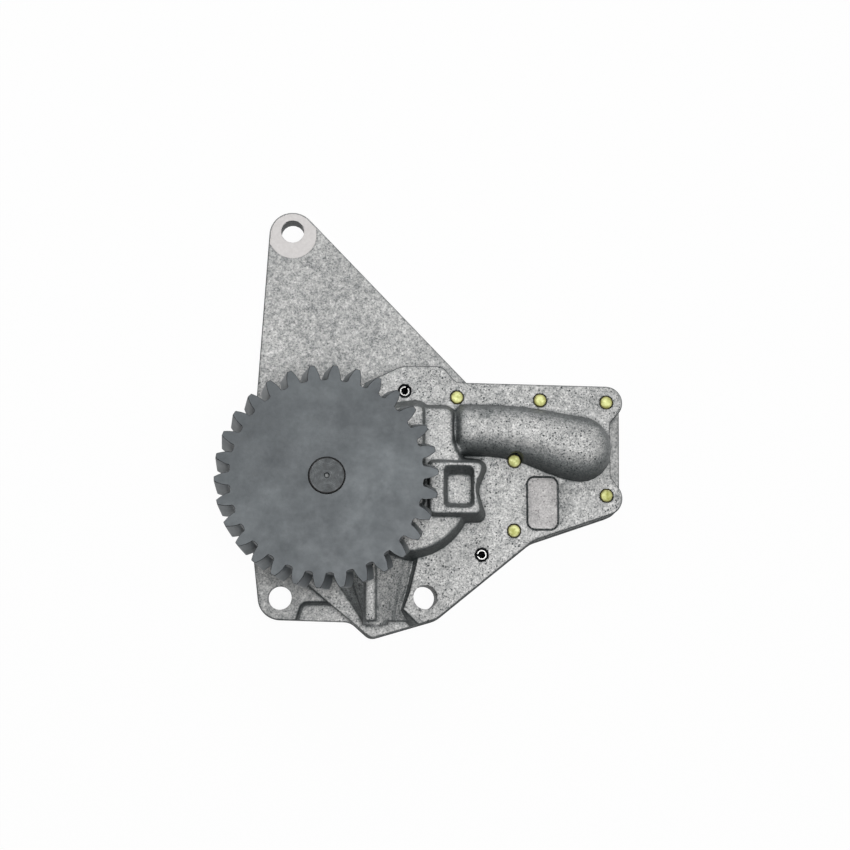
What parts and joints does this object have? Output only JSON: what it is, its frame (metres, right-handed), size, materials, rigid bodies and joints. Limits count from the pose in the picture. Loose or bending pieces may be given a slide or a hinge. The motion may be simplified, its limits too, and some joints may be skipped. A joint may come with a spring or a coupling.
{
  "type": "engine oil pump",
  "caption": "Gear-type engine oil pump: two-part cast housing with triangular bracket arm, helical drive gear, twin pumping gears and sprung relief valve.",
  "frame": {"origin": "drive shaft axis at the back mounting face", "axes": "+Z along the drive shaft from the mounting face to the drive gear, +Y along the bracket arm, +X along the suction duct"},
  "size_m": [0.1888, 0.2043, 0.0638],
  "materials": {
    "cast_aluminium": "as-cast, fine grain",
    "yellow_zinc": "yellow passivated zinc",
    "black_spring_steel": "black oiled",
    "bronze": "machined",
    "ground_steel": "ground",
    "black_rubber": "smooth",
    "dark_steel": "dark phosphated and oiled"
  },
  "bodies": {
    "housing": {"rear_housing": "cast_aluminium", "front_housing": "cast_aluminium", "cover_screws": "yellow_zinc", "upper_spring_pin": "black_spring_steel", "lower_spring_pin": "black_spring_steel", "front_bush": "bronze", "rear_bush": "bronze", "thrust_washer": "bronze", "idler_shaft": "ground_steel", "pressure_port_seal": "black_rubber", "suction_port_seal": "black_rubber", "relief_plug": "ground_steel", "relief_shim": "ground_steel", "relief_spring": "black_spring_steel"},
    "drive": {"drive_gear": "dark_steel", "drive_shaft": "dark_steel", "pump_drive_gear": "ground_steel", "pump_gear_key": "ground_steel"},
    "idler": {"pump_idler_gear": "ground_steel", "idler_bush": "bronze"},
    "piston": {"relief_piston": "ground_steel"}
  },
  "joints": [
    {"name": "drive_spin", "type": "hinge", "parent": "housing", "child": "drive", "pos_m": [0, 0, 0], "axis": [0, 0, 1], "continuous": true},
    {"name": "idler_spin", "type": "hinge", "parent": "housing", "child": "idler", "pos_m": [0.04, 0, 0], "axis": [0, 0, 1], "continuous": true},
    {"name": "relief_open", "type": "slide", "parent": "housing", "child": "piston", "axis": [0, -1, 0], "range_m": [0, 0.006], "stiffness_N_per_m": 4000, "springref_m": -0.003, "deforming": ["relief_spring"]}
  ],
  "couplings": [
    {"joint": "idler_spin", "follows": "drive_spin", "ratio": -1}
  ]
}
